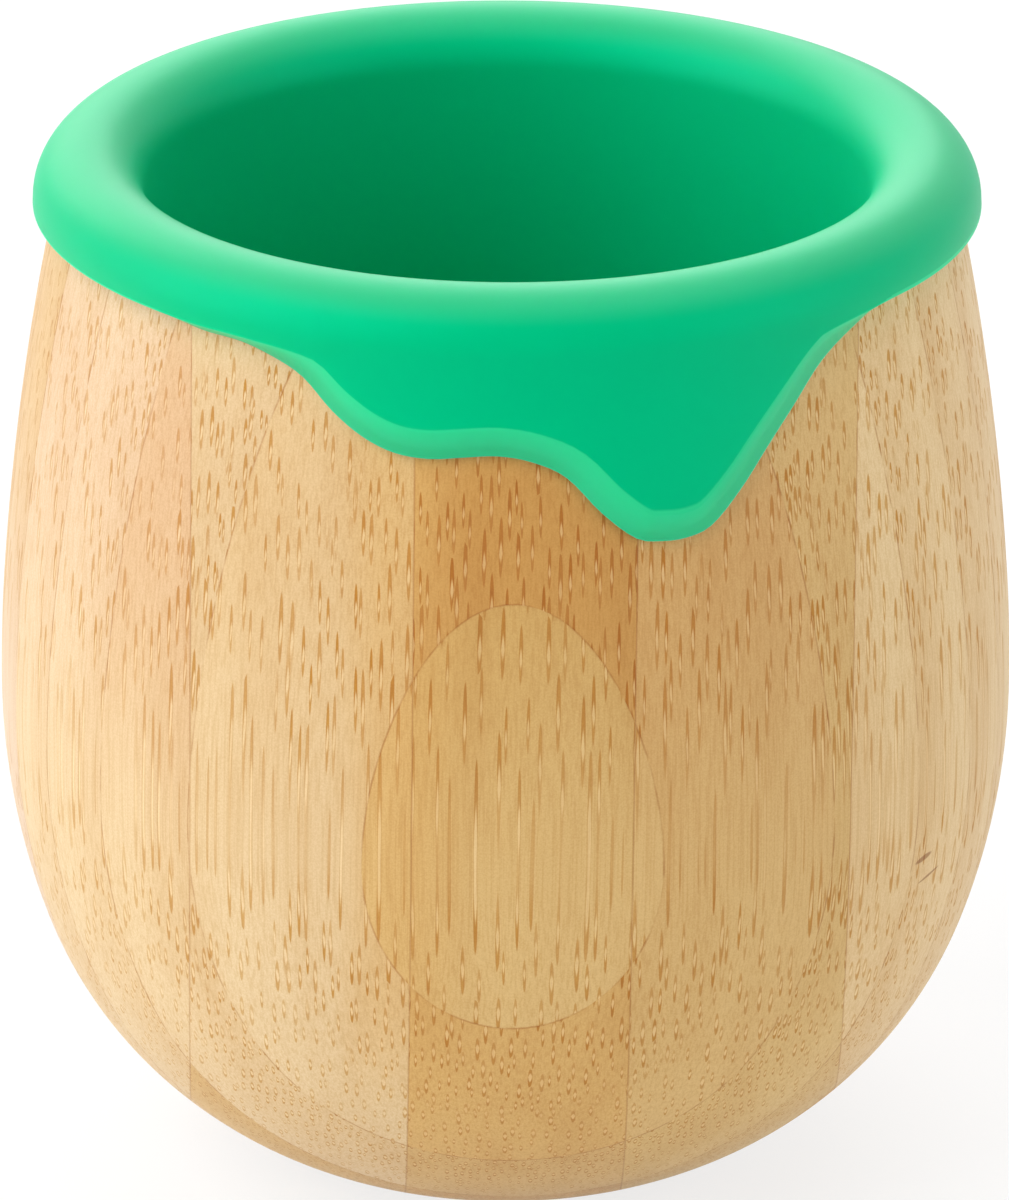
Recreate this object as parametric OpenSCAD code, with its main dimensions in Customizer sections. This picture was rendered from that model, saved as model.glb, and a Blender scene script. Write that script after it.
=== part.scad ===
// Bamboo cup with a removable silicone liner.
// The cup is turned from a block of glued bamboo strips. The liner is one soft moulding:
// a cup that fills the bore, a lip rolled over the rim, and a hem that runs down in a drip.
// Millimetres. +Z is up, the origin is at the middle of the foot, and -Y is the front.

/* [Bamboo body] */
// Widest diameter of the turned body
body_d = 80; // [76:0.5:92]
// Height of the widest level above the foot
belly_h = 39.2; // [36:0.2:44]
// How far the foot's edge lies inside the widest level
foot_inset = 25.5; // [21:0.5:28]
// Radius of the arc just above the widest level
waist_r = 130; // [100:5:170]
// How far up the waist arc turns, in degrees
waist_turn = 4.1; // [3:0.1:6]
// Radius of the arc just below the widest level
shoulder_r = 55; // [48:1:62]
// How far down the shoulder arc turns, in degrees
shoulder_turn = 19.4; // [14:0.2:24]
// Thickness of the bamboo under the bore
floor_t = 8; // [5:0.5:12]

/* [Glued block] */
// Width turned away from the block on the left and on the right
side_waste = 2.5; // [1.5:0.5:5]
// Depth turned away from the block at the front and at the back
face_waste = 5.5; // [4:0.25:6]
// Thickness of a glue line between two strips
glue_t = 0.05; // [0.02:0.01:0.2]
// How far the block sat to the right of the lathe's centre
block_shift = 0.9; // [0:0.1:2]
// Turn of the block about the upright axis, in degrees
block_turn = 0.9; // [0:0.1:3]

/* [Silicone liner] */
// Height of the whole cup, over the lip
cup_h = 84; // [80:0.5:92]
// How far the edge of the clear mouth lies inside the widest level
mouth_inset = 11.6; // [10:0.1:13]
// Radius of the rolled lip
lip_r = 4.35; // [3.9:0.05:5]
// Wall of the liner
liner_t = 1.7; // [1.2:0.1:2.2]
// Radius of the corner between the liner's wall and floor
corner_r = 9; // [5:0.5:14]
// Draft of the liner's wall, in degrees
draft = 3; // [2:0.25:4.5]
// Clearance between the liner and the bamboo
fit_gap = 0.2; // [0.15:0.05:0.4]

/* [Hem and drip] */
// Drop of the plain hem below the middle of the lip
hem_drop = 0.85; // [0.6:0.05:3]
// Length of the drip below the plain hem
drip_len = 14; // [6:0.5:22]
// Thickness of the drip
drip_t = 1.2; // [0.8:0.1:1.8]
// Thickness of the hem's own edge
edge_t = 0.35; // [0.2:0.05:0.6]
// Width of the bevel on the plain hem
plain_bevel = 0.5; // [0.3:0.05:0.8]
// Width of the bevel on the drip
drip_bevel = 2.3; // [1:0.1:3]
// Height over which the lip flows into the drip's face
flow_h = 5; // [3:0.5:8]

/* [Hidden] */
// The block is 13 rows deep from front to back and 5 strips wide
ROWS = 13;
PLACES = ["far_left", "left", "middle", "right", "far_right"];
mid_row = (ROWS + 1) / 2;
mid_place = (len(PLACES) - 1) / 2;
row_t = (body_d + 2 * face_waste) / ROWS;
strip_w = (body_d + 2 * side_waste) / len(PLACES);

// The front and back rows are thin facings, kept as one node each, and the rows behind
// them are three strips wide. All the others are five strips wide.
function is_facing(row) = abs(row - mid_row) == mid_row - 1;
function reach(row) = abs(row - mid_row) == mid_row - 2 ? mid_place - 1 : mid_place;
function two_digits(n) = n < 10 ? str("0", n) : str(n);
function row_name(row) = str("strip_row", two_digits(row));
function strip_name(row, place) = str(row_name(row), "_", PLACES[place]);
function facing_name(row) = str(row_name(row), "_facing");
function places_of(row) = [mid_place - reach(row) : mid_place + reach(row)];

// Levels and centres that both bodies share. The mouth and the foot follow the widest level,
// so the wall keeps its thickness when the body is made wider.
lip_mid = [body_d / 2 - mouth_inset + lip_r, cup_h - lip_r];
rim_r = lip_r - liner_t - fit_gap;
bore_offset = liner_t + fit_gap;

// Outline arcs of the turned body. Each arc meets the next one smoothly. The neck arc ends
// on the round of the rim and the foot arc ends on the foot.
function dir(a) = [cos(a), sin(a)];
belly = [body_d / 2, belly_h];
waist_mid = belly - [waist_r, 0];
waist_end = waist_mid + waist_r * dir(waist_turn);
to_rim = lip_mid - waist_end;
neck_r = (rim_r ^ 2 - to_rim * to_rim) / (2 * (to_rim * dir(waist_turn) + rim_r));
neck_mid = waist_end - neck_r * dir(waist_turn);
neck_turn = atan2(lip_mid.y - neck_mid.y, lip_mid.x - neck_mid.x);
shoulder_mid = belly - [shoulder_r, 0];
shoulder_end = shoulder_mid + shoulder_r * dir(-shoulder_turn);
to_foot = [body_d / 2 - foot_inset, 0] - shoulder_end;
heel_r = -(to_foot * to_foot) / (2 * to_foot * dir(-shoulder_turn));
heel_mid = shoulder_end - heel_r * dir(-shoulder_turn);
heel_turn = asin(heel_mid.y / heel_r);

function arc(mid, r, from, to, steps) =
    [for (k = [0 : steps]) mid + r * dir(from + (to - from) * k / steps)];

// Radius of the turned body at a height, moved outwards by an offset
function skin_r(z, offset) =
    z > waist_end.y ? neck_mid.x + sqrt((neck_r + offset) ^ 2 - (z - neck_mid.y) ^ 2)
    : z > belly_h ? waist_mid.x + sqrt((waist_r + offset) ^ 2 - (z - belly_h) ^ 2)
    : shoulder_mid.x + sqrt((shoulder_r + offset) ^ 2 - (z - belly_h) ^ 2);

// The bore, the outside of the liner and its inside are one outline at three offsets:
// over the rolled lip, down the drafted wall and round the corner to the floor
inner_floor = floor_t + bore_offset;
corner_z = inner_floor + corner_r;
lip_foot = lip_mid + lip_r * dir(180 - draft);
corner_mid = [
    lip_foot.x - (lip_foot.y - corner_z) * tan(draft) - corner_r / cos(draft),
    corner_z
];
function lip_arc(offset, from, to, steps) = arc(lip_mid, lip_r - offset, from, to, steps);
function corner_arc(offset, steps) = arc(corner_mid, corner_r + offset, -draft, -90, steps);

// Overrun of the cuts that have to pass right through
overrun = 5;
$fn = 180;

module turned_body() {
    rotate_extrude()
        polygon(concat(
            [[0, 0]],
            arc(heel_mid, heel_r, -heel_turn, -shoulder_turn, 14),
            arc(shoulder_mid, shoulder_r, -shoulder_turn, 0, 7),
            arc(waist_mid, waist_r, 0, waist_turn, 3),
            arc(neck_mid, neck_r, waist_turn, neck_turn, 9),
            lip_arc(bore_offset, neck_turn, 180 - draft, 12),
            corner_arc(bore_offset, 8),
            [[0, floor_t]]
        ));
}

// One cell of the glued block, counted from the middle of the block. The outermost cells of
// a row run on to the edge of the block.
module block_cell(row, place, is_last) {
    across = place - mid_place;
    along = row - mid_row;
    more = is_last ? (len(PLACES) / 2 - abs(across) - 1 / 2) * strip_w + overrun : 0;
    left = (across - 1 / 2) * strip_w + glue_t / 2 - (across < 0 ? more : 0);
    right = (across + 1 / 2) * strip_w - glue_t / 2 + (across > 0 ? more : 0);
    front = (along - 1 / 2) * row_t + glue_t / 2;
    rotate([0, 0, block_turn])
        translate([block_shift + left, front, -overrun])
            cube([right - left, row_t - glue_t, cup_h + 2 * overrun]);
}

module strip(row, place) {
    pale = (row + place) % 2 == 0;
    color(pale ? [0.91, 0.78, 0.58] : [0.86, 0.71, 0.50])
        intersection() {
            turned_body();
            block_cell(row, place, abs(place - mid_place) == reach(row));
        }
}

// The thin facings that the turning leaves of the block's front and back rows
module facing(row) {
    for (place = [mid_place - 1 : mid_place + 1])
        strip(row, place);
}

// Height of the hem round the cup. Angles run from the front towards the right. The drip is a
// smooth curve through these points: the angle in degrees, and the share of the drip's length.
drip_shares = [
    [-48, 0], [-40, 0.025], [-34, 0.03], [-29, 0.078], [-25, 0.155], [-21, 0.31], [-17, 0.43],
    [-13, 0.5], [-9, 0.518], [-5, 0.502], [-1, 0.491], [3, 0.524], [7, 0.614], [11, 0.817],
    [15, 0.972], [18, 1], [21, 0.997], [24, 0.952], [28, 0.782], [32, 0.579], [36, 0.399],
    [41, 0.198], [47, 0.072], [54, 0]
];
last_share = len(drip_shares) - 1;
function lean_at(k) = (k == 0 || k == last_share) ? 0
    : (drip_shares[k + 1].y - drip_shares[k - 1].y) / (drip_shares[k + 1].x - drip_shares[k - 1].x);
function between(a, k) =
    let (p = drip_shares[k], q = drip_shares[k + 1], w = q.x - p.x, t = (a - p.x) / w)
    p.y * (1 + 2 * t) * (1 - t) ^ 2 + lean_at(k) * w * t * (1 - t) ^ 2
    + q.y * t ^ 2 * (3 - 2 * t) + lean_at(k + 1) * w * t ^ 2 * (t - 1);
function drip_share(a) = (a <= drip_shares[0].x || a >= drip_shares[last_share].x) ? 0
    : max([for (k = [0 : last_share - 1]) if (a >= drip_shares[k].x && a <= drip_shares[k + 1].x)
        between(a, k)]);
hem_z = lip_mid.y - hem_drop;
function hem_at(a) = hem_z - drip_len * drip_share(a);

// Slope of the hem, as height per length round the cup
function hem_slope(a) =
    (hem_at(a + 1) - hem_at(a - 1)) / (2 * PI / 180 * skin_r(hem_at(a), fit_gap));

// Outside of the liner below the lip: it leaves the lip upright and settles to the drip's face
drip_offset = fit_gap + drip_t;
lip_excess = lip_mid.x + lip_r - skin_r(lip_mid.y, drip_offset);
function face_r(z) =
    let (s = min((lip_mid.y - z) / flow_h, 1))
    skin_r(z, drip_offset) + lip_excess * (1 - s) ^ 2;

// One section of the liner, as [radius, angle, height] from the middle of its outer floor to
// the middle of its inner floor. Above the hem's bevel, the points lean back square to the hem.
LIP_STEPS = 10;
WALL_STEPS = 4;
FACE_STEPS = 5;
function upright(points, a) = [for (p = points) [p.x, a, p.y]];
function section(a) =
    let (
        hem = hem_at(a),
        slope = hem_slope(a),
        bevel = plain_bevel + (drip_bevel - plain_bevel) * min(1, 3 * drip_share(a)),
        crease_z = hem + bevel / sqrt(1 + slope ^ 2),
        shift = -slope * (crease_z - hem) / skin_r(hem, drip_offset) * 180 / PI,
        inner = lip_arc(liner_t, 180 - draft, neck_turn, 8),
        inner_end = inner[len(inner) - 1]
    )
    concat(
        upright([for (k = [5 : -1 : 0]) corner_arc(liner_t, 5)[k]], a),
        upright(inner, a),
        [for (k = [1 : WALL_STEPS]) let (z = inner_end.y + (hem - inner_end.y) * k / WALL_STEPS)
            [skin_r(z, fit_gap), a, z]],
        [[skin_r(hem, fit_gap + edge_t), a, hem]],
        [for (k = [0 : FACE_STEPS - 1]) let (t = k / FACE_STEPS,
            z = crease_z + (lip_mid.y - crease_z) * t)
            [face_r(z), a + shift * (1 - t), z]],
        upright(lip_arc(0, 0, 180 - draft, LIP_STEPS), a),
        upright(corner_arc(0, 5), a)
    );

// Columns of the liner: fine where the drip is, coarse round the back
front_from = -50;
front_to = 64;
FINE = 38;
COARSE = 33;
columns = concat(
    [for (k = [0 : FINE - 1]) front_from + (front_to - front_from) * k / FINE],
    [for (k = [0 : COARSE - 1]) front_to + (360 + front_from - front_to) * k / COARSE]
);

module silicone_liner() {
    sections = [for (a = columns) section(a)];
    n = len(columns);
    m = len(sections[0]);
    rings = [for (s = sections, p = s) [p[0] * sin(p[1]), -p[0] * cos(p[1]), p[2]]];
    points = concat(rings, [[0, 0, floor_t + fit_gap], [0, 0, inner_floor]]);
    faces = concat(
        [for (i = [0 : n - 1], k = [0 : m - 2]) let (j = (i + 1) % n)
            [i * m + k, j * m + k + 1, j * m + k]],
        [for (i = [0 : n - 1], k = [0 : m - 2]) let (j = (i + 1) % n)
            [i * m + k, i * m + k + 1, j * m + k + 1]],
        [for (i = [0 : n - 1]) let (j = (i + 1) % n) [n * m, i * m, j * m]],
        [for (i = [0 : n - 1]) let (j = (i + 1) % n) [n * m + 1, j * m + m - 1, i * m + m - 1]]
    );
    color([0.05, 0.78, 0.52])
        polyhedron(points, faces);
}

for (row = [1 : ROWS]) if (is_facing(row))
    facing(row);
for (row = [1 : ROWS]) if (!is_facing(row)) for (place = places_of(row))
    strip(row, place);
silicone_liner();
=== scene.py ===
from math import asin, atan2, cos, degrees, pi, radians, sin, sqrt, tan
from random import Random

import bpy
from mathutils import Matrix, Vector


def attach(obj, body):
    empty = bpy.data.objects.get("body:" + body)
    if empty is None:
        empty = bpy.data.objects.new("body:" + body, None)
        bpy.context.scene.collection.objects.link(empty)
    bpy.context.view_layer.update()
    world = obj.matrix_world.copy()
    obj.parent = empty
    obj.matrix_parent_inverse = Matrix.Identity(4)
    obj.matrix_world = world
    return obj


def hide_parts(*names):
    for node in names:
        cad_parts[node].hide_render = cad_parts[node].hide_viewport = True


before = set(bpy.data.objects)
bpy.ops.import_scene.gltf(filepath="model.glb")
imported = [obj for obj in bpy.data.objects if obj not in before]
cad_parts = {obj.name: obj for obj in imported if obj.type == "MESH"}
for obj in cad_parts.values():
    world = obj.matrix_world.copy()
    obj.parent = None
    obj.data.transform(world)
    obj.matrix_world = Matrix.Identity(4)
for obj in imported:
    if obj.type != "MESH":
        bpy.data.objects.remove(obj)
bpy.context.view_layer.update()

# The photographer's camera: a long lens, about a metre away, looking down on the cup from
# the front. The cup fills the picture, a little turned in the frame.
CAMERA_DISTANCE = 0.96
CAMERA_ELEVATION = radians(21.5)
CAMERA_TARGET = Vector((0.0, 0.0, 0.05124))
CAMERA_DOWN = radians(0.3295)
CAMERA_ROLL = radians(0.2)
LENS_MM = 432.9
SENSOR_MM = 36.0
CAMERA_SHIFT = -0.0012
CAMERA_REACH = 20.0

camera_data = bpy.data.cameras.new("camera")
camera_data.sensor_fit = "HORIZONTAL"
camera_data.sensor_width = SENSOR_MM
camera_data.lens = LENS_MM
camera_data.shift_x = CAMERA_SHIFT
camera_data.clip_end = CAMERA_REACH
camera = bpy.data.objects.new("camera", camera_data)
bpy.context.scene.collection.objects.link(camera)
back_off = Vector((0.0, -cos(CAMERA_ELEVATION), sin(CAMERA_ELEVATION)))
camera.matrix_world = (
    Matrix.Translation(CAMERA_TARGET + CAMERA_DISTANCE * back_off)
    @ Matrix.Rotation(pi / 2 - CAMERA_ELEVATION - CAMERA_DOWN, 4, "X")
    @ Matrix.Rotation(CAMERA_ROLL, 4, "Z")
)
bpy.context.scene.camera = camera


# The turned block: the bamboo body before it is seen as strips. It was glued up from strips
# of bamboo, turned on a lathe to one smooth belly, bored for the liner and sanded.
MM = 0.001
BODY_D, BELLY_H, FOOT_D = 80 * MM, 39.2 * MM, 29 * MM
WAIST_R, WAIST_TURN = 130 * MM, 4.1
SHOULDER_R, SHOULDER_TURN = 55 * MM, 19.4
FLOOR_T = 8 * MM
CUP_H, MOUTH_D, LIP_R = 84 * MM, 56.8 * MM, 4.35 * MM
LINER_T, FIT_GAP = 1.7 * MM, 0.2 * MM
CORNER_R, DRAFT = 9 * MM, 3.0
TURNED_STEPS, WELD = 288, 0.002 * MM


def polar(angle):
    """Unit vector in the plane of the outline, from an angle in degrees."""
    return Vector((cos(radians(angle)), sin(radians(angle))))


def arc(middle, radius, start, end, steps):
    """Points along an arc, from and to an angle in degrees."""
    return [middle + radius * polar(start + (end - start) * k / steps) for k in range(steps + 1)]


# The outline runs up the heel, the shoulder, the waist and the neck, each arc smoothly into the
# next, over the round rim, down the bore and round the corner of its floor
lip_middle = Vector((MOUTH_D / 2 + LIP_R, CUP_H - LIP_R))
rim_radius = LIP_R - LINER_T - FIT_GAP
waist_middle = Vector((BODY_D / 2 - WAIST_R, BELLY_H))
waist_end = waist_middle + WAIST_R * polar(WAIST_TURN)
to_rim = lip_middle - waist_end
neck_radius = (rim_radius ** 2 - to_rim.length_squared) / (
    2 * (to_rim.dot(polar(WAIST_TURN)) + rim_radius))
neck_middle = waist_end - neck_radius * polar(WAIST_TURN)
neck_turn = degrees(atan2(lip_middle.y - neck_middle.y, lip_middle.x - neck_middle.x))
shoulder_middle = Vector((BODY_D / 2 - SHOULDER_R, BELLY_H))
shoulder_end = shoulder_middle + SHOULDER_R * polar(-SHOULDER_TURN)
to_foot = Vector((FOOT_D / 2, 0)) - shoulder_end
heel_radius = -to_foot.length_squared / (2 * to_foot.dot(polar(-SHOULDER_TURN)))
heel_middle = shoulder_end - heel_radius * polar(-SHOULDER_TURN)
heel_turn = degrees(asin(heel_middle.y / heel_radius))
inner_floor = FLOOR_T + LINER_T + FIT_GAP
corner_height = inner_floor + CORNER_R
lip_foot = lip_middle + LIP_R * polar(180 - DRAFT)
corner_middle = Vector((
    lip_foot.x - (lip_foot.y - corner_height) * tan(radians(DRAFT))
    - CORNER_R / cos(radians(DRAFT)),
    corner_height))


def draw_outline(name, points):
    """Draws an outline in the upright plane, point by point, and leaves it in edit mode."""
    bpy.ops.object.select_all(action="DESELECT")
    bpy.ops.mesh.primitive_plane_add(size=MM)
    outline = bpy.context.object
    outline.name = outline.data.name = name
    bpy.ops.object.mode_set(mode="EDIT")
    bpy.ops.mesh.select_all(action="SELECT")
    bpy.ops.mesh.merge(type="CENTER")
    bpy.ops.transform.translate(value=(points[0].x, 0, points[0].y))
    for here, there in zip(points, points[1:]):
        step = there - here
        bpy.ops.mesh.extrude_region_move(TRANSFORM_OT_translate={"value": (step.x, 0, step.y)})
    return outline


def spin_outline(steps):
    """Turns the outline in edit mode into a closed skin with its faces outwards."""
    bpy.ops.mesh.select_all(action="SELECT")
    bpy.ops.mesh.spin(steps=steps, angle=2 * pi, center=(0, 0, 0), axis=(0, 0, 1))
    bpy.ops.mesh.select_all(action="SELECT")
    bpy.ops.mesh.remove_doubles(threshold=WELD)
    bpy.ops.mesh.normals_make_consistent(inside=False)
    bpy.ops.object.mode_set(mode="OBJECT")


rim_offset = LINER_T + FIT_GAP
foot_ring = Vector((FOOT_D / 4, 0))
turned = draw_outline("turned_block", (
    [Vector((0, 0)), foot_ring]
    + arc(heel_middle, heel_radius, -heel_turn, -SHOULDER_TURN, steps=34)
    + arc(shoulder_middle, SHOULDER_R, -SHOULDER_TURN, 0, steps=18)[1:]
    + arc(waist_middle, WAIST_R, 0, WAIST_TURN, steps=8)[1:]
    + arc(neck_middle, neck_radius, WAIST_TURN, neck_turn, steps=24)[1:]
    + arc(lip_middle, rim_radius, neck_turn, 180 - DRAFT, steps=16)[1:]
    + arc(corner_middle, CORNER_R + rim_offset, -DRAFT, -90, steps=10)
    + [Vector((0, FLOOR_T))]))
spin_outline(TURNED_STEPS)


# The bamboo strips: 13 rows from front to back, up to five side by side, each a board of
# giant-bamboo wall 17 mm wide and 7 mm thick. They are edge-glued and face-glued to a block
# with hairline joints, so after turning each keeps a share of the belly and of the bore.
ROWS = 13
PLACES = ("far_left", "left", "middle", "right", "far_right")
FACE_WASTE, SIDE_WASTE = 5.5 * MM, 2.5 * MM
ROW_T = (BODY_D + 2 * FACE_WASTE) / ROWS
STRIP_W = (BODY_D + 2 * SIDE_WASTE) / len(PLACES)
GLUE_T = 0.004 * MM
BLOCK_SHIFT = 0.9 * MM
BLOCK_TURN, LEAN_HEIGHT = radians(0.9), 60 * MM
BLOCK_LEAN_BACK, BLOCK_LEAN_SIDE = radians(0.6), radians(0.5)
SAW_LIMIT, FLAT_LIMIT = 0.0001 * MM, 0.0005 * MM
SECOND_ROW_PLANED, MOST_PLANED = 0.2, 0.3
MIDDLE_ROW, MIDDLE_PLACE = (ROWS + 1) // 2, len(PLACES) // 2
block_matrix = (
    Matrix.Translation((0, 0, LEAN_HEIGHT))
    @ Matrix.Rotation(BLOCK_TURN, 4, "Z")
    @ Matrix.Rotation(BLOCK_LEAN_SIDE, 4, "Y")
    @ Matrix.Rotation(BLOCK_LEAN_BACK, 4, "X")
    @ Matrix.Translation((BLOCK_SHIFT, 0, -LEAN_HEIGHT)))


def copy_of(source, name):
    piece = source.copy()
    piece.data = source.data.copy()
    piece.name = piece.data.name = name
    bpy.context.scene.collection.objects.link(piece)
    return piece


def saw(piece, axis, low, high):
    """Keeps what lies between two planes of the block, and closes both sawn faces."""
    bpy.ops.object.select_all(action="DESELECT")
    piece.select_set(True)
    bpy.context.view_layer.objects.active = piece
    direction = Vector((0, 0, 0))
    direction[axis] = 1
    normal = block_matrix.to_3x3() @ direction
    bpy.ops.object.mode_set(mode="EDIT")
    for place, side in ((low, -1), (high, 1)):
        if place is None:
            continue
        bpy.ops.mesh.select_all(action="SELECT")
        bpy.ops.mesh.bisect(
            plane_co=block_matrix @ (direction * place), plane_no=normal * side,
            use_fill=True, clear_outer=True, threshold=SAW_LIMIT)
    bpy.ops.object.mode_set(mode="OBJECT")


def finish_faces(piece, planes):
    """Smooths the turned faces, keeps the flat ones flat and the edges between them sharp."""
    to_block = block_matrix.inverted()
    places = [(*(to_block @ vertex.co).xy, vertex.co.z) for vertex in piece.data.vertices]
    edge_kinds = {}
    for face in piece.data.polygons:
        kind = 0
        for number, (axis, level) in enumerate(planes, 1):
            if all(abs(places[v][axis] - level) < FLAT_LIMIT for v in face.vertices):
                kind = number
        face.use_smooth = kind == 0
        for key in face.edge_keys:
            edge_kinds.setdefault(key, set()).add(kind)
    sharp = piece.data.attributes.new("sharp_edge", "BOOLEAN", "EDGE")
    for edge in piece.data.edges:
        sharp.data[edge.index].value = len(edge_kinds.get(edge.key, ())) > 1


def row_name(row):
    return f"strip_row{row:02d}"


def rgb(red, green, blue):
    """A colour from its 0 to 255 screen values."""
    def linear(c):
        c /= 255
        return c / 12.92 if c <= 0.04045 else ((c + 0.055) / 1.055) ** 2.4
    return (linear(red), linear(green), linear(blue), 1.0)


# The ground of each strip runs from one tone at the rim to another at the foot. The front strips,
# by row and place, have those of the photograph, and the others two that are drawn by chance.
TONES = {
    "cream": (223, 202, 181), "peach": (218, 190, 157), "straw": (213, 186, 144),
    "fawn": (210, 179, 131), "tan": (212, 177, 137), "oat": (220, 195, 153),
    "sand": (203, 162, 101), "honey": (203, 165, 105), "wheat": (211, 178, 118),
    "amber": (194, 146, 74), "flax": (224, 197, 149), "bran": (195, 155, 87),
    "barley": (214, 184, 124), "husk": (210, 172, 106)}
FRONT_TONES = {
    (1, 1): ("sand", "wheat"), (1, 2): ("bran", "wheat"), (1, 3): ("honey", "wheat"),
    (2, 1): ("fawn", "oat"), (2, 2): ("amber", "husk"), (2, 3): ("sand", "wheat"),
    (3, 0): ("tan", "oat"), (3, 1): ("straw", "oat"), (3, 2): ("honey", "wheat"),
    (3, 3): ("wheat", "barley"), (3, 4): ("flax", "flax"),
    (4, 0): ("peach", "oat"), (4, 1): ("straw", "wheat"), (4, 2): ("honey", "husk"),
    (4, 3): ("wheat", "barley"), (4, 4): ("flax", "flax"),
    (5, 0): ("peach", "oat"), (5, 2): ("honey", "husk"), (5, 4): ("flax", "flax"),
    (6, 0): ("fawn", "cream"), (6, 4): ("flax", "flax"),
    (7, 0): ("fawn", "oat"), (7, 4): ("flax", "oat")}
chance = Random(21)
strips = []
for row in range(1, ROWS + 1):
    along = row - MIDDLE_ROW
    front = (along - 0.5) * ROW_T + GLUE_T / 2
    board = copy_of(turned, "board")
    saw(board, 1, front, front + ROW_T - GLUE_T)
    is_facing = abs(along) == MIDDLE_ROW - 1
    reach = MIDDLE_PLACE if abs(along) < MIDDLE_ROW - 2 else MIDDLE_PLACE - 1
    for place in range(MIDDLE_PLACE - reach, MIDDLE_PLACE + reach + 1):
        across = place - MIDDLE_PLACE
        left = (across - 0.5) * STRIP_W + GLUE_T / 2
        right = (across + 0.5) * STRIP_W - GLUE_T / 2
        strip = copy_of(board, f"bamboo_row{row:02d}_{PLACES[place]}")
        saw(strip, 0, None if across == -reach else left, None if across == reach else right)
        finish_faces(strip, (
            (0, left), (0, right), (1, front), (1, front + ROW_T - GLUE_T), (2, 0), (2, FLOOR_T)))
        tones = FRONT_TONES.get((row, place), chance.sample(sorted(TONES), 2))
        # The share of the bamboo's wall that was planed off its hard outside
        planed = SECOND_ROW_PLANED if row == 2 else MOST_PLANED * chance.random() if row > 4 else 0.0
        grain = strip.data.attributes.new("grain", "FLOAT_VECTOR", "FACE")
        grain.data.foreach_set("vector", (chance.random(), chance.random(), planed) * len(grain.data))
        for end, tone in zip(("rim_tone", "foot_tone"), tones):
            ground = strip.data.attributes.new(end, "FLOAT_VECTOR", "FACE")
            ground.data.foreach_set("vector", rgb(*TONES[tone])[:3] * len(ground.data))
        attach(strip, "bamboo_body")
        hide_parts(row_name(row) + ("_facing" if is_facing else "_" + PLACES[place]))
        strips.append(strip)
    bpy.data.objects.remove(board)
bpy.data.objects.remove(turned)


class Socket:
    """A value in a material, so that node maths can be written as plain sums."""

    def __init__(self, tree, value):
        self.tree = tree
        self.value = value

    def node(self, kind, output=0, settings=(), **inputs):
        """Adds a node and gives one output. An input goes by its name, or by i and its number."""
        made = self.tree.nodes.new("ShaderNode" + kind)
        for key, setting in dict(settings).items():
            setattr(made, key, setting)
        for key, given in inputs.items():
            is_number = key[0] == "i" and key[1:].isdigit()
            socket = made.inputs[int(key[1:]) if is_number else key.replace("_", " ")]
            if isinstance(given, Socket):
                self.tree.links.new(given.value, socket)
            else:
                socket.default_value = given
        return Socket(self.tree, made.outputs[output])

    def maths(self, operation, *others):
        given = {f"i{k}": o for k, o in enumerate((self,) + others)}
        return self.node("Math", 0, {"operation": operation}, **given)

    def __add__(self, other):
        return self.maths("ADD", other)

    def __sub__(self, other):
        return self.maths("SUBTRACT", other)

    def __mul__(self, other):
        return self.maths("MULTIPLY", other)

    def __truediv__(self, other):
        return self.maths("DIVIDE", other)

    def __rsub__(self, other):
        return (self * -1.0) + other

    __radd__ = __add__
    __rmul__ = __mul__

    def part(self, axis):
        return self.node("SeparateXYZ", axis, i0=self)

    def noise(self, output="Fac", **inputs):
        return self.node("TexNoise", output, {"noise_dimensions": "3D"}, Vector=self, **inputs)

    def smooth(self, start, end):
        """Runs from 0 at start to 1 at end."""
        settings = {"interpolation_type": "SMOOTHSTEP"}
        return self.node("MapRange", 0, settings, i0=self, i1=start, i2=end)

    def mix(self, low, high):
        """Mixes two colours by this value."""
        return self.node("Mix", 2, {"data_type": "RGBA"}, i0=self, i6=low, i7=high)


# The bamboo itself, sanded and oiled to a satin gloss. Its fibre bundles run up every strip,
# fine and dense towards the hard outside of the wall, and thick and sparse towards the inside.
# The belly cuts them at a slant, so they show as streaks, dashes or dots.
bamboo = bpy.data.materials.new("bamboo")
bamboo.use_nodes = True
tree = bamboo.node_tree
surface = tree.nodes["Principled BSDF"]
start = Socket(tree, None)


def vector(x, y, z):
    return start.node("CombineXYZ", 0, i0=x, i1=y, i2=z)


# Where a point lies in the block, in millimetres
position = start.node("TexCoord", "Object")
block = start.node(
    "Mapping", 0, {"vector_type": "TEXTURE"}, i0=position, i1=tuple(block_matrix.to_translation()),
    i2=tuple(block_matrix.to_euler()), i3=(MM, MM, MM))
across, depth, height = block.part("X"), block.part("Y"), block.part("Z")

# Where a point lies in its strip, and how deep in the bamboo's wall: 0 is the hard outside
strip_across = across / (STRIP_W / MM) + len(PLACES) / 2
strip_depth = depth / (ROW_T / MM) + ROWS / 2
in_width = strip_across.maths("FRACT")
in_depth = strip_depth.maths("FRACT")
grain = start.node("Attribute", "Vector", {"attribute_name": "grain"})
strip_random, other_random, planed = grain.part("X"), grain.part("Y"), grain.part("Z")
wall_depth = in_depth * (1.0 - planed) + planed

# The bundles wander a little on their way up, and no two strips have the same pattern
wander_at = vector(across * 0.08, depth * 0.08, height * 0.03 + strip_random * 40.0)
wander = wander_at.noise("Color", Scale=1.0, Detail=2.0)
wander_x, wander_y = wander.part("X") - 0.5, wander.part("Y") - 0.5
grain_x = across + wander_x * 0.8 + strip_random * 31.0
grain_y = depth + wander_y * 0.7 + other_random * 17.0

# 0 above the widest part of the belly, and 1 under it, where the bundles are cut the other way
lower = height.smooth(36.0, 18.0)


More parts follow.
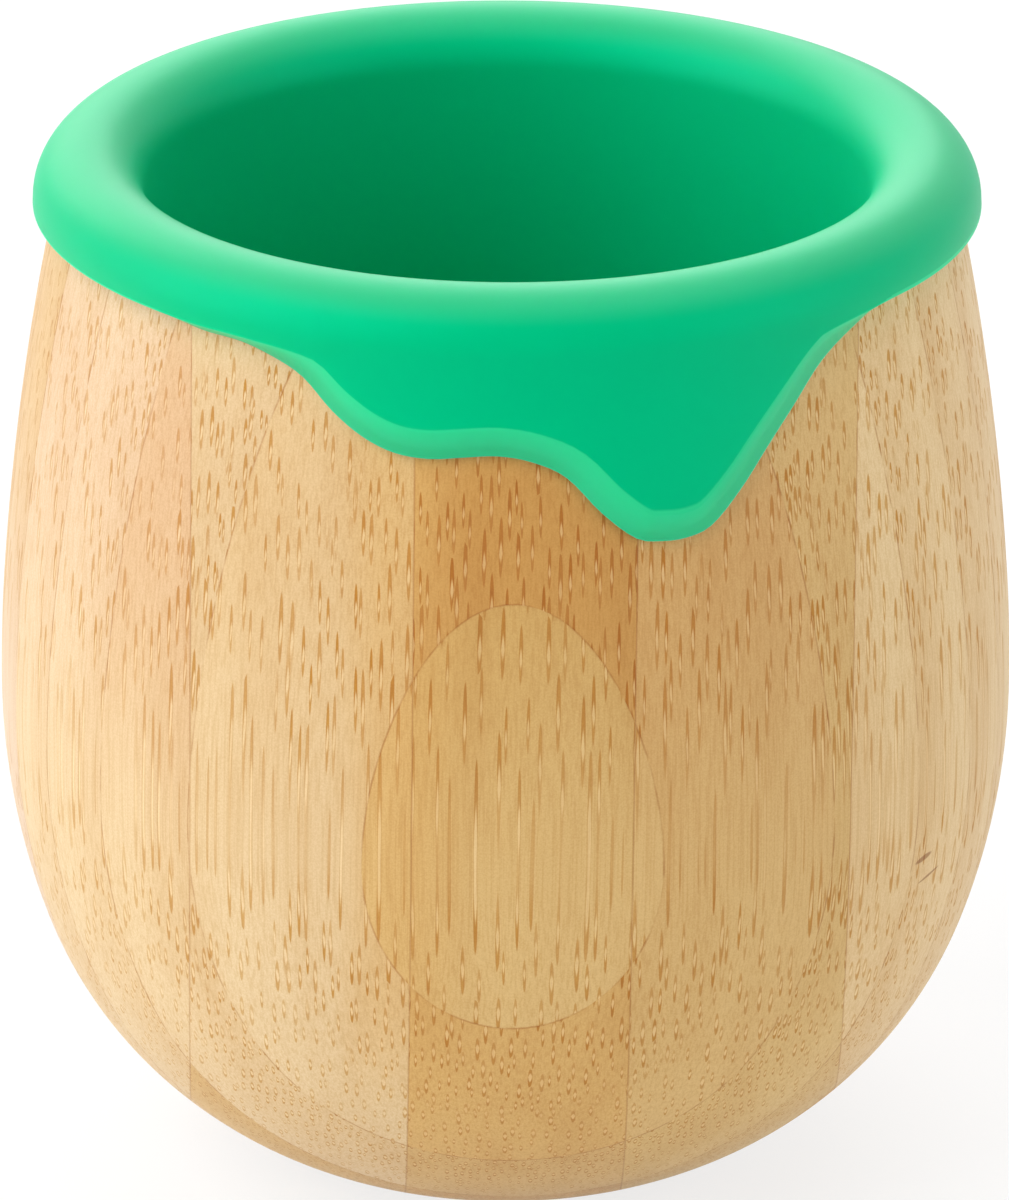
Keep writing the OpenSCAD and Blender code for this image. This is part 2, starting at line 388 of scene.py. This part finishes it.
def bundles(across_step, depth_step, width, length, fade):
    """Bundles on a loose staggered grid: each has a thick cap at the back, a small one in front
    and thin sides, all dark, round a pale middle."""
    p, q = grain_x / across_step, grain_y / depth_step
    at = vector(p + q, p - q, 0.0)
    settings = {"voronoi_dimensions": "2D", "feature": "F1"}
    centre, chances = (
        at.node("TexVoronoi", output, settings, Vector=at, Scale=1.0, Randomness=0.65)
        for output in ("Position", "Color"))
    size = chances.part("X") * 0.5 + 0.72
    strength = chances.part("Y") * 0.4 + 0.65
    away = at.node("VectorMath", 0, {"operation": "SUBTRACT"}, i0=at, i1=centre)
    away_x, away_y = away.part("X"), away.part("Y")
    u = (away_x + away_y) * (across_step / width / 2) / size
    v = (away_x - away_y) * (depth_step / length / 2) / size
    square = u * u
    spread = square + v * v
    whole = 1.0 - spread.smooth(0.75, 1.1)
    back = (v + square * 0.7 - lower * 0.22).smooth(0.02, 0.3)
    front = (square * 0.4 - v).smooth(0.32, 0.58) * 0.85
    sides = spread.smooth(0.45, 0.85) * (lower * 0.4 + 0.15)
    cap = back.maths("MAXIMUM", front).maths("MAXIMUM", sides)
    return whole * cap * strength * fade, whole * (1.0 - cap) * strength * fade


outer = bundles(
    across_step=0.9, depth_step=0.8, width=0.15, length=0.22,
    fade=1.0 - wall_depth.smooth(0.13, 0.22))
middle = bundles(
    across_step=1.3, depth_step=1.0, width=0.15, length=0.31,
    fade=wall_depth.smooth(0.12, 0.2) * (1.0 - wall_depth.smooth(0.5, 0.65)))
inner = bundles(
    across_step=1.75, depth_step=1.1, width=0.16, length=0.32,
    fade=wall_depth.smooth(0.48, 0.62) * 0.85)


def strongest(marks):
    return marks[0].maths("MAXIMUM", marks[1]).maths("MAXIMUM", marks[2])


# Where the belly stands upright it cuts the bundles along, and their marks are fainter. They
# are also fainter low down and at the far left.
normal = start.node("TexCoord", "Normal")
normal_x, normal_y = normal.part("X"), normal.part("Y")
end_cut = normal.part("Z").maths("ABSOLUTE").smooth(0.0, 0.09)
fainter = (1.0 - lower * 0.13) * (1.0 - across.smooth(-20.0, -30.0) * 0.25)
darks, pales = zip(outer, middle, inner)
dark = strongest(darks) * (end_cut * 0.55 + 0.45) * fainter
pale = strongest(pales) * (1.6 - end_cut * 0.6)

# Fine fibres between the bundles, slow changes of tone along a strip, and the sanded surface
fibre_at = vector(grain_x * 5.0, grain_y * 5.0, height * 0.06)
fibre = fibre_at.noise(Scale=1.0, Detail=2.0, Roughness=0.6)
cloud = vector(across * 0.22, depth * 0.22, height * 0.03).noise(Scale=1.0, Detail=2.0)
speck = block.noise(Scale=7.0, Detail=1.0)


def darken(factor, colour, tint):
    settings = {"data_type": "RGBA", "blend_type": "MULTIPLY"}
    return start.node("Mix", 2, settings, i0=factor, i6=colour, i7=tint)


rim_tone = start.node("Attribute", "Vector", {"attribute_name": "rim_tone"})
foot_tone = start.node("Attribute", "Vector", {"attribute_name": "foot_tone"})
colour = (height + wander_x * 8.0).smooth(28.0, 68.0).mix(foot_tone, rim_tone)

# In front, the strips on both sides of the joint left of the middle run to one honey tone
by_joint = strip_across.smooth(1.6, 1.9) * strip_across.smooth(2.3, 2.0)
by_joint = by_joint * height.smooth(12.0, 28.0) * depth.smooth(0.0, -10.0)
colour = (by_joint * 0.5).mix(colour, rgb(214, 175, 107))

# It is darker towards the hard outside, in the fibres, in clouds and in specks, and then come
# the pale middles of the bundles and their dark caps
colour = darken(wall_depth.smooth(0.9, 0.0) * 0.35, colour, (0.86, 0.76, 0.62, 1.0))
colour = darken(fibre.smooth(0.40, 0.68) * 0.55, colour, (0.86, 0.77, 0.62, 1.0))
colour = darken(cloud.smooth(0.35, 0.75) * 0.6, colour, (0.90, 0.83, 0.72, 1.0))
colour = darken(speck.smooth(0.3, 0.7), colour, (0.93, 0.89, 0.83, 1.0))
colour = (pale * 0.18).mix(colour, rgb(255, 232, 182))
colour = darken(dark, colour, (0.71, 0.455, 0.06, 1.0))

# The glue lines are thin and a little brown, equally thin wherever the belly cuts them, and
# come and go
tilt_x = (1.001 - normal_x * normal_x).maths("SQRT")
tilt_y = (1.001 - normal_y * normal_y).maths("SQRT")
glue_x = (0.5 - (in_width - 0.5).maths("ABSOLUTE")) * (STRIP_W / MM) / tilt_x
glue_y = (0.5 - (in_depth - 0.5).maths("ABSOLUTE")) * (ROW_T / MM) / tilt_y
patchy = block.noise(Scale=0.35, Detail=3.0)
glue = (glue_x.smooth(0.1, 0.04) * (patchy * 0.8 + 0.3)).maths(
    "MAXIMUM", glue_y.smooth(0.12, 0.03) * patchy.smooth(0.35, 0.6))
colour = darken(glue * 0.7, colour, (0.66, 0.44, 0.22, 1.0))


# A node of the bamboo left two small scars across the grain, low on the right
def scar(at_depth, at_height, slope, half_length, half_width):
    """An oval at a place in the block, in millimetres."""
    along = depth - at_depth
    u, v = along / half_length, (height - at_height - along * slope) / half_width
    return (u * u + v * v).smooth(1.2, 0.5)


upper_scar = scar(-23.2, 33.26, slope=0.13, half_length=0.95, half_width=0.27)
lower_scar = scar(-22.1, 31.35, slope=0.2, half_length=1.25, half_width=0.13)
on_the_right = across.smooth(0.0, 1.0)
scars = upper_scar.maths("MAXIMUM", lower_scar) * on_the_right
colour = darken(scars * 0.85, colour, (0.48, 0.31, 0.15, 1.0))

tree.links.new(colour.value, surface.inputs["Base Color"])
tree.links.new((0.42 + fibre * 0.10 + dark * 0.08).value, surface.inputs["Roughness"])
surface.inputs["Specular IOR Level"].default_value = 0.4
relief = start.node(
    "Bump", 0, Strength=0.05, Distance=0.04 * MM,
    Height=1.0 - glue * 0.8 - fibre * 0.3 - speck * 0.3 - scars)
tree.links.new(relief.value, surface.inputs["Normal"])
for strip in strips:
    strip.data.materials.clear()
    strip.data.materials.append(bamboo)


# The silicone liner: one soft green moulding with a matte bloom. It fills the bore, rolls over
# the rim in a fat lip and ends in a hem outside, which runs down the front in a drip. Its edge
# is bevelled to a thin line where it meets the bamboo.
HEM_DROP, DRIP_LENGTH, DRIP_T, EDGE_T = 0.85 * MM, 14 * MM, 1.2 * MM, 0.35 * MM
PLAIN_BEVEL, DRIP_BEVEL, FLOW_H = 0.5 * MM, 2.3 * MM, 5 * MM
# The rib above the crease, and its growth on the right, say where a painted highlight goes
CREASE_ROUND, HIGHLIGHT_RIB = 0.06 * MM, 0.12 * MM
BEVEL_GROWTH, RIGHT_HIGHLIGHT_GROWTH = 6, 2.5
DRIP_SHARES = (
    (-48, 0), (-40, 0.025), (-34, 0.03), (-29, 0.078), (-25, 0.155), (-21, 0.31), (-17, 0.43),
    (-13, 0.5), (-9, 0.518), (-5, 0.502), (-1, 0.491), (3, 0.524), (7, 0.614), (11, 0.817),
    (15, 0.972), (18, 1), (21, 0.997), (24, 0.952), (28, 0.782), (32, 0.579), (36, 0.399),
    (41, 0.198), (47, 0.072), (54, 0))
hem_height = lip_middle.y - HEM_DROP


def skin_radius(z, offset):
    """Radius of the turned belly at a height, moved outwards by an offset."""
    if z > waist_end.y:
        return neck_middle.x + sqrt((neck_radius + offset) ** 2 - (z - neck_middle.y) ** 2)
    return waist_middle.x + sqrt((WAIST_R + offset) ** 2 - (z - BELLY_H) ** 2)


def drip_share(angle):
    """How far the drip hangs at an angle from the front, as a share of its length."""
    if not DRIP_SHARES[0][0] < angle < DRIP_SHARES[-1][0]:
        return 0.0
    slopes = [0.0] + [
        (after[1] - before[1]) / (after[0] - before[0])
        for before, after in zip(DRIP_SHARES, DRIP_SHARES[2:])] + [0.0]
    k = max(i for i, (a, _) in enumerate(DRIP_SHARES[:-1]) if a <= angle)
    (a, low), (b, high) = DRIP_SHARES[k:k + 2]
    width = b - a
    t = (angle - a) / width
    return (low * (1 + 2 * t) * (1 - t) ** 2 + slopes[k] * width * t * (1 - t) ** 2
            + high * t * t * (3 - 2 * t) + slopes[k + 1] * width * t * t * (t - 1))


def hem_at(angle):
    return hem_height - DRIP_LENGTH * drip_share(angle)


def hem_slope(angle):
    rise = hem_at(angle + 1) - hem_at(angle - 1)
    return rise / (2 * radians(1) * skin_radius(hem_at(angle), FIT_GAP))


drip_offset = FIT_GAP + DRIP_T
lip_excess = lip_middle.x + LIP_R - skin_radius(lip_middle.y, drip_offset)


def face_radius(z):
    """Radius of the liner's outer face, from the lip down to the skin over the bamboo."""
    s = min((lip_middle.y - z) / FLOW_H, 1)
    return skin_radius(z, drip_offset) + lip_excess * (1 - s) ** 2


def angle_of(place):
    """Angle of a place from the front, positive to the right."""
    return degrees(atan2(place.x, -place.y))


INSIDE_ROWS, FACE_ROWS = 10, 14
EDGE_ROW, BEVEL_ROW, CREASE_ROW = INSIDE_ROWS, INSIDE_ROWS + 1, INSIDE_ROWS + 2
LINER_STEPS = 360
outside = (
    [Vector((0, FLOOR_T + FIT_GAP))]
    + arc(corner_middle, CORNER_R + LINER_T, -90, -DRAFT, steps=10)
    + arc(lip_middle, LIP_R - LINER_T, 180 - DRAFT, neck_turn, steps=16))
under = len(outside)
inside = (
    arc(lip_middle, LIP_R, 0, 180 - DRAFT, steps=36)
    + arc(corner_middle, CORNER_R, -DRAFT, -90, steps=14)
    + [Vector((0, inner_floor))])
hem_points = [
    Vector((skin_radius(z, FIT_GAP), z)) for z in (
        outside[-1].y + (hem_height - outside[-1].y) * k / INSIDE_ROWS
        for k in range(1, INSIDE_ROWS + 1))]
hem_points.append(Vector((skin_radius(hem_height, FIT_GAP + EDGE_T), hem_height)))
crease = hem_height + PLAIN_BEVEL
hem_points += [
    Vector((face_radius(z), z)) for z in (
        crease + (lip_middle.y - crease) * k / FACE_ROWS for k in range(-1, FACE_ROWS))]
outline = outside + hem_points + inside
liner = draw_outline("green_silicone_liner", outline)
bpy.ops.object.mode_set(mode="OBJECT")
place_in_outline = liner.data.attributes.new("outline_place", "INT", "POINT")
for vertex in liner.data.vertices:
    place_in_outline.data[vertex.index].value = vertex.index
bpy.ops.object.mode_set(mode="EDIT")
spin_outline(LINER_STEPS)

# The hem's rows are pulled down to the drip. From the inside over the edge they are the inside
# rows, the edge, the bevel, the crease and the face, and the bevel stays square to the hem.
places = [p.value for p in liner.data.attributes["outline_place"].data]
for vertex, place in zip(liner.data.vertices, places):
    k = place - under
    if not 0 <= k < len(hem_points):
        continue
    angle = angle_of(vertex.co)
    hem, slope = hem_at(angle), hem_slope(angle)
    bevel = PLAIN_BEVEL + (DRIP_BEVEL - PLAIN_BEVEL) * min(1, BEVEL_GROWTH * drip_share(angle))
    crease = hem + bevel / sqrt(1 + slope * slope)
    turn = -slope * (crease - hem) / skin_radius(hem, drip_offset)
    if k < INSIDE_ROWS:
        z = outside[-1].y + (hem - outside[-1].y) * (k + 1) / INSIDE_ROWS
        radius, lean = skin_radius(z, FIT_GAP), 0.0
    elif k == EDGE_ROW:
        z, radius, lean = hem, skin_radius(hem, FIT_GAP + EDGE_T), 0.0
    elif k == BEVEL_ROW:
        share = 1 - CREASE_ROUND / max(bevel, 4 * CREASE_ROUND)
        z = hem + (crease - hem) * share
        edge = skin_radius(hem, FIT_GAP + EDGE_T)
        radius, lean = edge + (face_radius(crease) - edge) * share, turn * share
    else:
        row = (k - CREASE_ROW) / FACE_ROWS
        first = CREASE_ROUND / (lip_middle.y - crease)
        row = first + (1 - first) * row if k > CREASE_ROW else 0.0
        z = crease + (lip_middle.y - crease) * row
        radius, lean = face_radius(z), turn * (1 - row)
    a = radians(angle) + lean
    vertex.co = (radius * sin(a), -radius * cos(a), z)

# Painted light: the thin edge is painted paler, and the rib above its crease gets a painted highlight,
# more so on the right
painted_edge_light = liner.data.attributes.new("painted_edge_light_mask", "FLOAT", "POINT")
for vertex, place in zip(liner.data.vertices, places):
    k = place - under
    angle = angle_of(vertex.co)
    highlight_rib = HIGHLIGHT_RIB * (RIGHT_HIGHLIGHT_GROWTH if 40 < angle < 100 else 1)
    is_highlight_rib = CREASE_ROW < k < len(hem_points) and vertex.co.z < hem_at(angle) + PLAIN_BEVEL + highlight_rib
    painted_edge_light.data[vertex.index].value = 1.0 if EDGE_ROW <= k <= CREASE_ROW or is_highlight_rib else 0.0
liner.data.attributes.remove(liner.data.attributes["outline_place"])
for face in liner.data.polygons:
    face.use_smooth = True
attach(liner, "liner")
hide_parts("silicone_liner")

# The green is a little uneven. A painted sheen makes the top of the lip paler, and painted light makes
# the silicone paler where it is thin
silicone = bpy.data.materials.new("silicone")
silicone.use_nodes = True
tree = silicone.node_tree
surface = tree.nodes["Principled BSDF"]
start = Socket(tree, None)
position = start.node("TexCoord", "Object")
bloom = position.noise(Scale=60.0, Detail=3.0)
grit = position.noise(Scale=6000.0, Detail=2.0)
painted_edge_light = start.node("Attribute", "Fac", {"attribute_name": "painted_edge_light_mask"})
green = (bloom * 0.25).mix(rgb(0, 177, 118), rgb(0, 187, 128))
# Painted sheen: the top of the lip is painted paler
painted_sheen = position.part("Z").smooth(81.8 * MM, CUP_H)
green = (painted_sheen * 0.3).mix(green, rgb(95, 178, 125))
# Painted light: paler on the thin edge, and a painted highlight on the rib above its crease
green = (painted_edge_light.smooth(0.45, 0.75) * 0.75).mix(green, rgb(55, 204, 140))
tree.links.new(green.value, surface.inputs["Base Color"])
tree.links.new((0.42 + bloom * 0.08).value, surface.inputs["Roughness"])
surface.inputs["Specular Tint"].default_value = (0.0, 1.0, 0.7, 1.0)
surface.inputs["IOR"].default_value = 1.5
surface.inputs["Subsurface Weight"].default_value = 0.5
surface.inputs["Subsurface Radius"].default_value = (0.3, 1.0, 0.7)
surface.inputs["Subsurface Scale"].default_value = 3.0 * MM
relief = start.node("Bump", 0, Strength=0.08, Distance=0.02 * MM, Height=grit)
tree.links.new(relief.value, surface.inputs["Normal"])
liner.data.materials.clear()
liner.data.materials.append(silicone)


# The studio: a pale sweep under and behind the cup, a big soft lamp on the left, a weak one on
# the right, one behind that veils the rim, and two small ones: low in front, and overhead.
SWEEP_SIZE = 3.0
FLOOR_TONE, FLOOR_GLOW, BACKDROP_GLOW, WORLD_LIGHT = 0.9, 0.78, 0.9, 0.33
WHITE = (1.0, 1.0, 1.0, 1.0)


def seen_as_it_is(start):
    """1 for what the camera sees, also in gloss or glass, and 0 for the light on the cup."""
    camera_ray, glossy_ray, clear_ray = (
        start.node("LightPath", f"Is {kind} Ray") for kind in ("Camera", "Glossy", "Transmission"))
    return camera_ray.maths("MAXIMUM", glossy_ray).maths("MAXIMUM", clear_ray)


bpy.ops.object.select_all(action="DESELECT")
bpy.ops.mesh.primitive_plane_add(size=SWEEP_SIZE)
floor = bpy.context.object
floor.name = floor.data.name = "studio_floor"
white = bpy.data.materials.new("studio_white")
white.use_nodes = True
tree = white.node_tree
surface = tree.nodes["Principled BSDF"]
surface.inputs["Base Color"].default_value = (FLOOR_TONE, FLOOR_TONE, FLOOR_TONE, 1.0)
surface.inputs["Roughness"].default_value = 0.9
start = Socket(tree, None)
glow = start.node("Emission", 0, Color=WHITE, Strength=1.0)
shown = start.node(
    "MixShader", 0, i0=seen_as_it_is(start) * FLOOR_GLOW, i1=Socket(tree, surface.outputs[0]), i2=glow)
tree.links.new(shown.value, tree.nodes["Material Output"].inputs["Surface"])
floor.data.materials.append(white)

# The backdrop is clear from behind, so that the cup's back can be seen through it
bpy.ops.object.select_all(action="DESELECT")
bpy.ops.mesh.primitive_plane_add(
    size=SWEEP_SIZE, location=(0, SWEEP_SIZE / 2, 0), rotation=(pi / 2, 0, 0))
bpy.ops.object.transform_apply(location=True, rotation=True)
backdrop = bpy.context.object
backdrop.name = backdrop.data.name = "studio_backdrop"
paper = bpy.data.materials.new("studio_paper")
paper.use_nodes = True
tree = paper.node_tree
start = Socket(tree, None)
lit = start.node("Emission", 0, Color=WHITE, Strength=BACKDROP_GLOW)
clear = start.node("BsdfTransparent", 0)
from_behind = start.node("NewGeometry", "Backfacing")
paper_side = start.node("MixShader", 0, i0=from_behind, i1=lit, i2=clear)
tree.links.new(paper_side.value, tree.nodes["Material Output"].inputs["Surface"])
backdrop.data.materials.append(paper)

world = bpy.data.worlds.new("studio")
bpy.context.scene.world = world
world.use_nodes = True
tree = world.node_tree
background = tree.nodes["Background"]
background.inputs["Color"].default_value = WHITE
strength = seen_as_it_is(Socket(tree, None)) * (1 - WORLD_LIGHT) + WORLD_LIGHT
tree.links.new(strength.value, background.inputs["Strength"])

# Name, place and width in metres, and power in watts
LAMPS = (
    ("key", (-0.95, -0.4, 0.75), 1.4, 18.2),
    ("fill", (1.1, -0.5, 0.4), 0.9, 3.9),
    ("back", (-0.25, 0.95, 0.75), 1.2, 8.5),
    ("low_front", (0.15, -1.1, 0.25), 0.8, 0.6),
    ("overhead", (0.35, 0.0, 1.2), 0.8, 3.2))
for name, spot, size, power in LAMPS:
    lamp_data = bpy.data.lights.new(name, "AREA")
    lamp_data.size = size
    lamp_data.energy = power
    lamp = bpy.data.objects.new(name, lamp_data)
    bpy.context.scene.collection.objects.link(lamp)
    aim = Vector(spot) - Vector((0, 0, CUP_H / 2))
    lamp.matrix_world = Matrix.Translation(spot) @ aim.to_track_quat("Z", "Y").to_matrix().to_4x4()

bpy.context.scene.view_settings.view_transform = "Standard"
